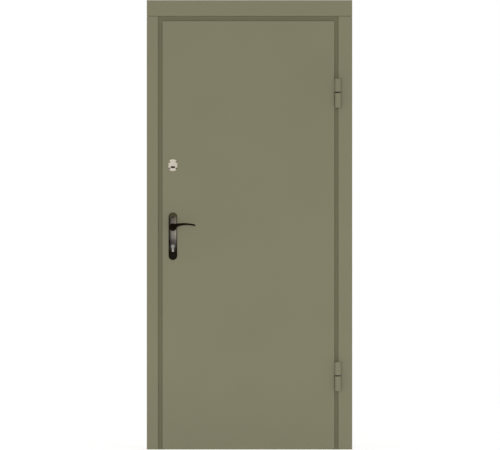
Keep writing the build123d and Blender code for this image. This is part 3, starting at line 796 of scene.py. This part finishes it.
class DOOR_OT_fit_locks(Operator):
    """Finishes faceplates, bolts and strike plates and drives their screws."""

    bl_idname = "door.fit_locks"
    bl_label = "Fit Locks"

    def execute(self, context):
        metal = context.scene.door_metal
        fasteners = context.scene.door_fasteners
        along = (1.0, 1.0, 0.03)
        brushed = self.make_lock_finish(metal.zinc_colour, along)
        strike = make_metal("strike_zinc", metal.zinc_colour, rough=0.40, grain=1500.0, stretch=along)
        bolt = make_metal("bolt_steel", bolt_steel, rough=0.22, grain=800.0, stretch=(0.05, 1.0, 1.0))
        finish_nodes(brushed, "upper_lock", "lower_lock")
        finish_nodes(strike, "upper_strike_plate", "lower_strike_plate")
        finish_nodes(bolt, "upper_lock_bolts", "lower_lock_bolts")
        radius = fasteners.lock_screw_radius
        inset = fasteners.lock_screw_inset
        for place, turn in (("upper", 0.4), ("lower", 1.1)):
            low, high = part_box(f"{place}_lock")
            heads = bmesh.new()
            middle = (low.y + high.y) / 2.0
            add_screw(heads, (low.x, middle, low.z + inset), (-1, 0, 0), radius, turn)
            add_screw(heads, (low.x, middle, high.z - inset), (-1, 0, 0), radius, turn + 0.9)
            if place == "lower":
                cylinder_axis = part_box("lock_cylinder")[1].z - cylinder_radius
                fixing = (low.x, middle, cylinder_axis - fixing_screw_drop)
                add_screw(heads, fixing, (-1, 0, 0), fasteners.fixing_screw_radius, turn=0.7)
            add_piece(f"{place}_faceplate_screws", heads, bolt, "leaf")
            low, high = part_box(f"{place}_strike_plate")
            heads = bmesh.new()
            add_screw(heads, (high.x, middle, low.z + inset), (1, 0, 0), radius, turn + 0.3)
            add_screw(heads, (high.x, middle, high.z - inset), (1, 0, 0), radius, turn + 1.7)
            add_piece(f"{place}_strike_screws", heads, bolt, "frame")
        return {"FINISHED"}

    def make_lock_finish(self, zinc, along):
        """Brushed zinc on the faceplates and dark oiled steel on the cases behind them."""
        soft_edge = 0.0002
        tone_spread = 0.06
        grain_depth = 0.00001
        material, tree, shader, position = start_material("lock_zinc")
        shader.inputs["Metallic"].default_value = 1.0
        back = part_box("upper_lock")[0].x + faceplate_thickness
        depth = split_axes(tree, position)["X"]
        behind = map_range(tree, depth, 0.0, 1.0, back - soft_edge, back + soft_edge)
        lines = add_noise(tree, position, scale=1500.0, detail=3.0, stretch=along)
        bright = add_ramp(tree, lines, spread_tones(zinc, tone_spread))
        oil = add_noise(tree, position, scale=90.0, detail=4.0)
        dark = add_ramp(tree, oil, ((0.35, oiled_steel_dark), (0.7, oiled_steel_light)))
        tree.links.new(add_mix(tree, behind, bright, dark), shader.inputs["Base Color"])
        tree.links.new(map_range(tree, oil, low=0.33, high=0.43), shader.inputs["Roughness"])
        add_bump(tree, shader, lines, grain_depth)
        return material


class DOOR_OT_fit_escutcheons(Operator):
    """Finishes the escutcheons of the upper lock and drives their screws."""

    bl_idname = "door.fit_escutcheons"
    bl_label = "Fit Escutcheons"

    def execute(self, context):
        fasteners = context.scene.door_fasteners
        nickel = self.make_nickel(context.scene.door_metal.escutcheon_colour)
        dark = make_metal("dark_screw_steel", escutcheon_screw_steel, rough=0.35, grain=900.0)
        finish_nodes(nickel, "outer_escutcheon", "inner_escutcheon")
        radius = fasteners.escutcheon_screw_radius
        across, up = fasteners.escutcheon_screw_spacing
        for side, facing_y in (("outer", -1), ("inner", 1)):
            low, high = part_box(f"{side}_escutcheon")
            middle = (low + high) / 2.0
            surface = outward_face(low, high, facing_y) + facing_y * escutcheon_screw_lift
            heads = bmesh.new()
            for index, (right, above) in enumerate(((-1, -1), (1, -1), (-1, 1), (1, 1))):
                place = (middle.x + right * across / 2.0, surface, middle.z + above * up / 2.0)
                add_screw(heads, place, (0, facing_y, 0), radius, turn=0.5 + 0.8 * index, rise=0.0005)
            add_piece(f"{side}_escutcheon_screws", heads, dark, "leaf")
        return {"FINISHED"}

    def make_nickel(self, colour):
        """Brushed nickel with a thin ring of painted shade round the keyholes."""
        keyhole_shade_width = 0.0005
        keyhole_shade_fade = 0.0006
        material = make_metal("satin_nickel", colour, rough=0.30, grain=1900.0, stretch=(1.0, 1.0, 0.035))
        tree = material.node_tree
        low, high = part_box("outer_escutcheon")
        # Painted shade: a dark ring just outside the key slot's outline, fading outwards
        middle = ((low.x + high.x) / 2.0, 0.0, (low.z + high.z) / 2.0 - key_slot_drop)
        offset = add_math(tree, "VectorMath", "SUBTRACT", add_position(tree), middle)
        sides = add_math(tree, "VectorMath", "ABSOLUTE", offset.outputs["Vector"])
        axes = split_axes(tree, sides.outputs["Vector"])
        straight = (key_slot_width - key_slot_height) / 2.0
        beyond = add_math(tree, "Math", "SUBTRACT", axes["X"], straight)
        beyond.use_clamp = True
        across = tree.nodes.new("ShaderNodeCombineXYZ")
        tree.links.new(beyond.outputs["Value"], across.inputs["X"])
        tree.links.new(axes["Z"], across.inputs["Z"])
        reach = add_math(tree, "VectorMath", "LENGTH", across.outputs["Vector"])
        edge = key_slot_height / 2.0 + keyhole_shade_width
        lip = map_range(tree, reach.outputs["Value"], 1.0, 0.0, edge, edge + keyhole_shade_fade)
        lay_over(tree, lip, keyhole_shade)
        return material


class DOOR_OT_fit_lever_set(Operator):
    """Finishes plates, levers, spindle and cylinder, and adds screws and cylinder plugs."""

    bl_idname = "door.fit_lever_set"
    bl_label = "Fit Lever Set"

    def execute(self, context):
        metal = context.scene.door_metal
        fasteners = context.scene.door_fasteners
        black = make_black_nickel("lever_black_nickel", metal.lever_colour)
        nickel = make_metal("cylinder_nickel", metal.cylinder_colour, rough=0.30, grain=1200.0)
        steel = make_metal("spindle_steel", spindle_steel, rough=0.35, grain=600.0)
        dark = make_metal("plate_screw_steel", plate_screw_steel, rough=0.30, grain=900.0)
        finish_nodes(self.make_plate_finish(), "outer_handle_plate", "inner_handle_plate")
        finish_nodes(black, "outer_lever", "inner_lever")
        finish_nodes(nickel, "lock_cylinder")
        finish_nodes(steel, "lever_spindle")
        inset = fasteners.plate_screw_inset
        cylinder_low, cylinder_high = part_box("lock_cylinder")
        cylinder_axis = cylinder_high.z - cylinder_radius
        for side, facing_y in (("outer", -1), ("inner", 1)):
            low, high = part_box(f"{side}_handle_plate")
            crown = outward_face(low, high, facing_y)
            surface = crown - facing_y * plate_fall_at_screws
            heads = bmesh.new()
            for index, height in enumerate((low.z + inset, high.z - inset)):
                place = (lever_axis_x, surface, height)
                add_screw(heads, place, (0, facing_y, 0), fasteners.plate_screw_radius, turn=0.3 + index)
            add_piece(f"{side}_plate_screws", heads, dark, "leaf")
            cylinder_end = outward_face(cylinder_low, cylinder_high, facing_y)
            plug = self.make_plug((lever_axis_x, cylinder_end, cylinder_axis), facing_y)
            add_piece(f"{side}_cylinder_plug", plug, nickel, "leaf")
            neck = (lever_axis_x, crown + facing_y * grub_distance, lever_axis_z - neck_radius)
            grub = self.make_grub(neck, fasteners.grub_radius)
            add_piece(f"{side}_lever_grub", grub, dark, "lever")
        return {"FINISHED"}

    def make_plate_finish(self):
        """Black nickel whose colour carries a painted reflection: a painted highlight along the middle and
        painted shade at the rim and the foot.
        """
        smear_depth = 0.00001
        material, tree, shader, position = start_material("plate_black_nickel")
        shader.inputs["Metallic"].default_value = 1.0
        shader.inputs["Specular Tint"].default_value = (0.25, 0.23, 0.20, 1.0)
        low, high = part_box("outer_handle_plate")
        axes = split_axes(tree, position)
        height = map_range(tree, axes["Z"], 0.0, 1.0, low.z, high.z)
        # Painted reflection down the plate: dark at the foot, brightest above the middle, darker towards
        # the top
        painted_reflection_tones = (
            (0.00, (0.014, 0.013, 0.007)),
            (0.17, (0.012, 0.009, 0.006)),
            (0.26, (0.040, 0.036, 0.028)),
            (0.35, (0.110, 0.096, 0.090)),
            (0.41, (0.150, 0.132, 0.122)),
            (0.46, (0.270, 0.250, 0.215)),
            (0.55, (0.360, 0.330, 0.276)),
            (0.66, (0.370, 0.335, 0.280)),
            (0.80, (0.225, 0.200, 0.164)),
            (0.88, (0.170, 0.150, 0.122)),
            (0.92, (0.078, 0.066, 0.036)),
            (1.00, (0.074, 0.063, 0.035)),
        )
        body = add_ramp(tree, height, painted_reflection_tones)
        across = map_range(tree, axes["X"], 0.0, 1.0, low.x, high.x)
        # Painted highlight across the plate: dark at the left rim, brightest near the right
        painted_highlight_shares = (
            (0.00, 0.12),
            (0.09, 0.12),
            (0.20, 0.24),
            (0.32, 0.52),
            (0.43, 0.74),
            (0.67, 0.76),
            (0.80, 1.00),
            (0.90, 0.80),
            (1.00, 0.66),
        )
        painted_highlight_across = add_ramp(tree, across, grey_stops(painted_highlight_shares))
        # The painted highlight across is laid only between the plate's ends
        ends = ((0.24, 0.0), (0.34, 1.0), (0.88, 1.0), (0.94, 0.0))
        middle = add_ramp(tree, height, grey_stops(ends))
        tree.links.new(add_mix(tree, middle, body, painted_highlight_across, "MULTIPLY"), shader.inputs["Base Color"])
        smears = add_noise(tree, position, scale=140.0, detail=3.0, stretch=(1.0, 1.0, 0.3))
        tree.links.new(map_range(tree, smears, low=0.14, high=0.28), shader.inputs["Roughness"])
        add_bump(tree, shader, smears, smear_depth)
        return material

    def make_plug(self, place, facing_y):
        """Turning plug of the cylinder: a low disc with a keyway cut through it."""
        mesh = bmesh.new()
        matrix = facing(place, (0, facing_y, 0))
        foot = add_ring(mesh, matrix, plug_radius, 0.0, plug_sides)
        brow = add_ring(mesh, matrix, plug_brow_radius, plug_rise, plug_sides)
        join_rings(mesh, foot, brow)
        lip = add_outline(mesh, matrix, keyway_outline, plug_rise)
        root = add_outline(mesh, matrix, keyway_outline, -keyway_depth)
        fill_between(mesh, brow, lip)
        join_rings(mesh, lip, root)
        return mesh

    def make_grub(self, place, radius):
        """Grub screw that points up into a neck: a bevelled end with a six-sided socket."""
        foot_depth = 0.0008
        rim_rise = 0.0002
        end_rise = 0.0005
        socket_depth = 0.0006
        end_radius = radius * 0.86
        socket_radius = radius * 0.56
        mesh = bmesh.new()
        matrix = facing(place, (0, 0, -1))
        foot = add_ring(mesh, matrix, radius, -foot_depth, grub_sides)
        rim = add_ring(mesh, matrix, radius, rim_rise, grub_sides)
        brow = add_ring(mesh, matrix, end_radius, end_rise, grub_sides)
        mouth = add_ring(mesh, matrix, socket_radius, end_rise, socket_sides)
        root = add_ring(mesh, matrix, socket_radius, -socket_depth, socket_sides)
        mesh.faces.new(foot)
        join_rings(mesh, foot, rim)
        join_rings(mesh, rim, brow)
        fill_between(mesh, brow, mouth)
        join_rings(mesh, mouth, root)
        mesh.faces.new(root)
        return mesh


class DOOR_OT_build_studio(Operator):
    """Builds the pale floor, the lights and the camera."""

    bl_idname = "door.build_studio"
    bl_label = "Build Studio"

    def execute(self, context):
        scene = context.scene
        studio = scene.door_studio
        across, depth, up = studio.key_direction
        self.add_floor(scene, studio)
        self.add_surroundings(scene, studio)
        self.add_key(scene, studio, "front_key", (across, depth, up))
        self.add_key(scene, studio, "back_key", (across, -depth, up))
        self.add_camera(scene, studio)
        scene.view_settings.view_transform = "Standard"
        return {"FINISHED"}

    def add_floor(self, scene, studio):
        """Round pale floor just under the door."""
        mesh = bmesh.new()
        level = Matrix.Translation((0, 0, -studio.floor_drop))
        mesh.faces.new(add_ring(mesh, level, studio.floor_radius, 0.0, studio.floor_sides))
        data = bpy.data.meshes.new("floor")
        mesh.to_mesh(data)
        mesh.free()
        material, tree, shader, position = start_material("floor_white")
        shader.inputs["Roughness"].default_value = 0.9
        shader.inputs["Specular IOR Level"].default_value = 0.1
        shader.inputs["Emission Color"].default_value = (1.0, 1.0, 1.0, 1.0)
        shader.inputs["Emission Strength"].default_value = studio.floor_glow
        cloud = add_noise(tree, position, scale=3.0, detail=2.0)
        whites = grey_stops(((noise_low, 0.93), (noise_high, 0.95)))
        tree.links.new(add_ramp(tree, cloud, whites), shader.inputs["Base Color"])
        data.materials.append(material)
        floor = bpy.data.objects.new("floor", data)
        scene.collection.objects.link(floor)

    def add_surroundings(self, scene, studio):
        """White for the camera, greys graded by height in reflections and an even fill light."""
        world = bpy.data.worlds.new("studio_surroundings")
        world.use_nodes = True
        tree = world.node_tree
        fill = tree.nodes["Background"]
        fill.inputs["Color"].default_value = (1.0, 1.0, 1.0, 1.0)
        fill.inputs["Strength"].default_value = studio.fill_strength
        mirrored = tree.nodes.new("ShaderNodeBackground")
        mirrored.inputs["Strength"].default_value = studio.reflection_strength
        direction = tree.nodes.new("ShaderNodeTexCoord").outputs["Generated"]
        slope = map_range(tree, split_axes(tree, direction)["Z"], 0.0, 1.0, -1.0, 1.0)
        levels = (
            (0.00, 0.34),
            (0.40, 0.42),
            (0.47, 0.55),
            (0.53, 0.59),
            (0.62, 0.72),
            (0.78, 1.00),
            (1.00, 0.80),
        )
        tree.links.new(add_ramp(tree, slope, grey_stops(levels)), mirrored.inputs["Color"])
        backdrop = tree.nodes.new("ShaderNodeBackground")
        backdrop.inputs["Color"].default_value = (1.0, 1.0, 1.0, 1.0)
        backdrop.inputs["Strength"].default_value = studio.backdrop_strength
        ray = tree.nodes.new("ShaderNodeLightPath")
        surroundings = fill
        for kind, seen in (("Is Glossy Ray", mirrored), ("Is Camera Ray", backdrop)):
            mix = tree.nodes.new("ShaderNodeMixShader")
            tree.links.new(ray.outputs[kind], mix.inputs["Fac"])
            tree.links.new(surroundings.outputs[0], mix.inputs[1])
            tree.links.new(seen.outputs[0], mix.inputs[2])
            surroundings = mix
        tree.links.new(surroundings.outputs[0], tree.nodes["World Output"].inputs["Surface"])
        scene.world = world

    def add_key(self, scene, studio, name, direction):
        """Far soft light from that direction, which the metal doesn't mirror."""
        data = bpy.data.lights.new(name, "SUN")
        data.energy = studio.key_strength
        data.angle = studio.key_softness
        key = bpy.data.objects.new(name, data)
        key.rotation_euler = Vector(direction).to_track_quat("Z", "Y").to_euler()
        key.visible_glossy = False
        scene.collection.objects.link(key)

    def add_camera(self, scene, studio):
        """Camera straight in front, far off with a long lens."""
        farthest_seen = 100.0
        data = bpy.data.cameras.new("camera")
        data.lens = data.sensor_width * studio.camera_distance / studio.picture_width
        data.clip_end = farthest_seen
        camera = bpy.data.objects.new("camera", data)
        across, up = studio.picture_middle
        camera.location = (across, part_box("leaf_outer_sheet")[0].y - studio.camera_distance, up)
        camera.rotation_euler = (math.radians(90.0), 0.0, 0.0)
        scene.collection.objects.link(camera)
        scene.camera = camera


# Sidebar and registration


class DOOR_PT_sidebar(Panel):
    """Lists the steps and the settings of the door."""

    bl_idname = "DOOR_PT_sidebar"
    bl_label = "Entrance Door"
    bl_space_type = "VIEW_3D"
    bl_region_type = "UI"
    bl_category = "Door"

    def draw(self, context):
        layout = self.layout
        for step in steps:
            layout.operator(step.bl_idname)
        for group in settings_groups:
            settings = getattr(context.scene, group)
            box = layout.box()
            for key in settings.__annotations__:
                box.prop(settings, key)


settings_groups = {
    "door_paint": DoorPaintSettings,
    "door_metal": DoorMetalSettings,
    "door_fasteners": DoorFastenerSettings,
    "door_studio": DoorStudioSettings,
}
steps = (
    DOOR_OT_paint_frame,
    DOOR_OT_paint_casings,
    DOOR_OT_paint_leaf,
    DOOR_OT_fit_seals,
    DOOR_OT_hang_hinges,
    DOOR_OT_fit_locks,
    DOOR_OT_fit_escutcheons,
    DOOR_OT_fit_lever_set,
    DOOR_OT_build_studio,
)


def register():
    """Adds the settings, the steps and the sidebar."""
    for group, settings in settings_groups.items():
        bpy.utils.register_class(settings)
        setattr(bpy.types.Scene, group, PointerProperty(type=settings))
    for step in steps:
        bpy.utils.register_class(step)
    bpy.utils.register_class(DOOR_PT_sidebar)


def unregister():
    """Takes the sidebar, the steps and the settings away again."""
    bpy.utils.unregister_class(DOOR_PT_sidebar)
    for step in reversed(steps):
        bpy.utils.unregister_class(step)
    for group, settings in settings_groups.items():
        delattr(bpy.types.Scene, group)
        bpy.utils.unregister_class(settings)


def main():
    """Dresses the door and builds the studio."""
    register()
    bpy.ops.door.paint_frame()
    bpy.ops.door.paint_casings()
    bpy.ops.door.paint_leaf()
    bpy.ops.door.fit_seals()
    bpy.ops.door.hang_hinges()
    bpy.ops.door.fit_locks()
    bpy.ops.door.fit_escutcheons()
    bpy.ops.door.fit_lever_set()
    bpy.ops.door.build_studio()


if __name__ == "__main__":
    main()
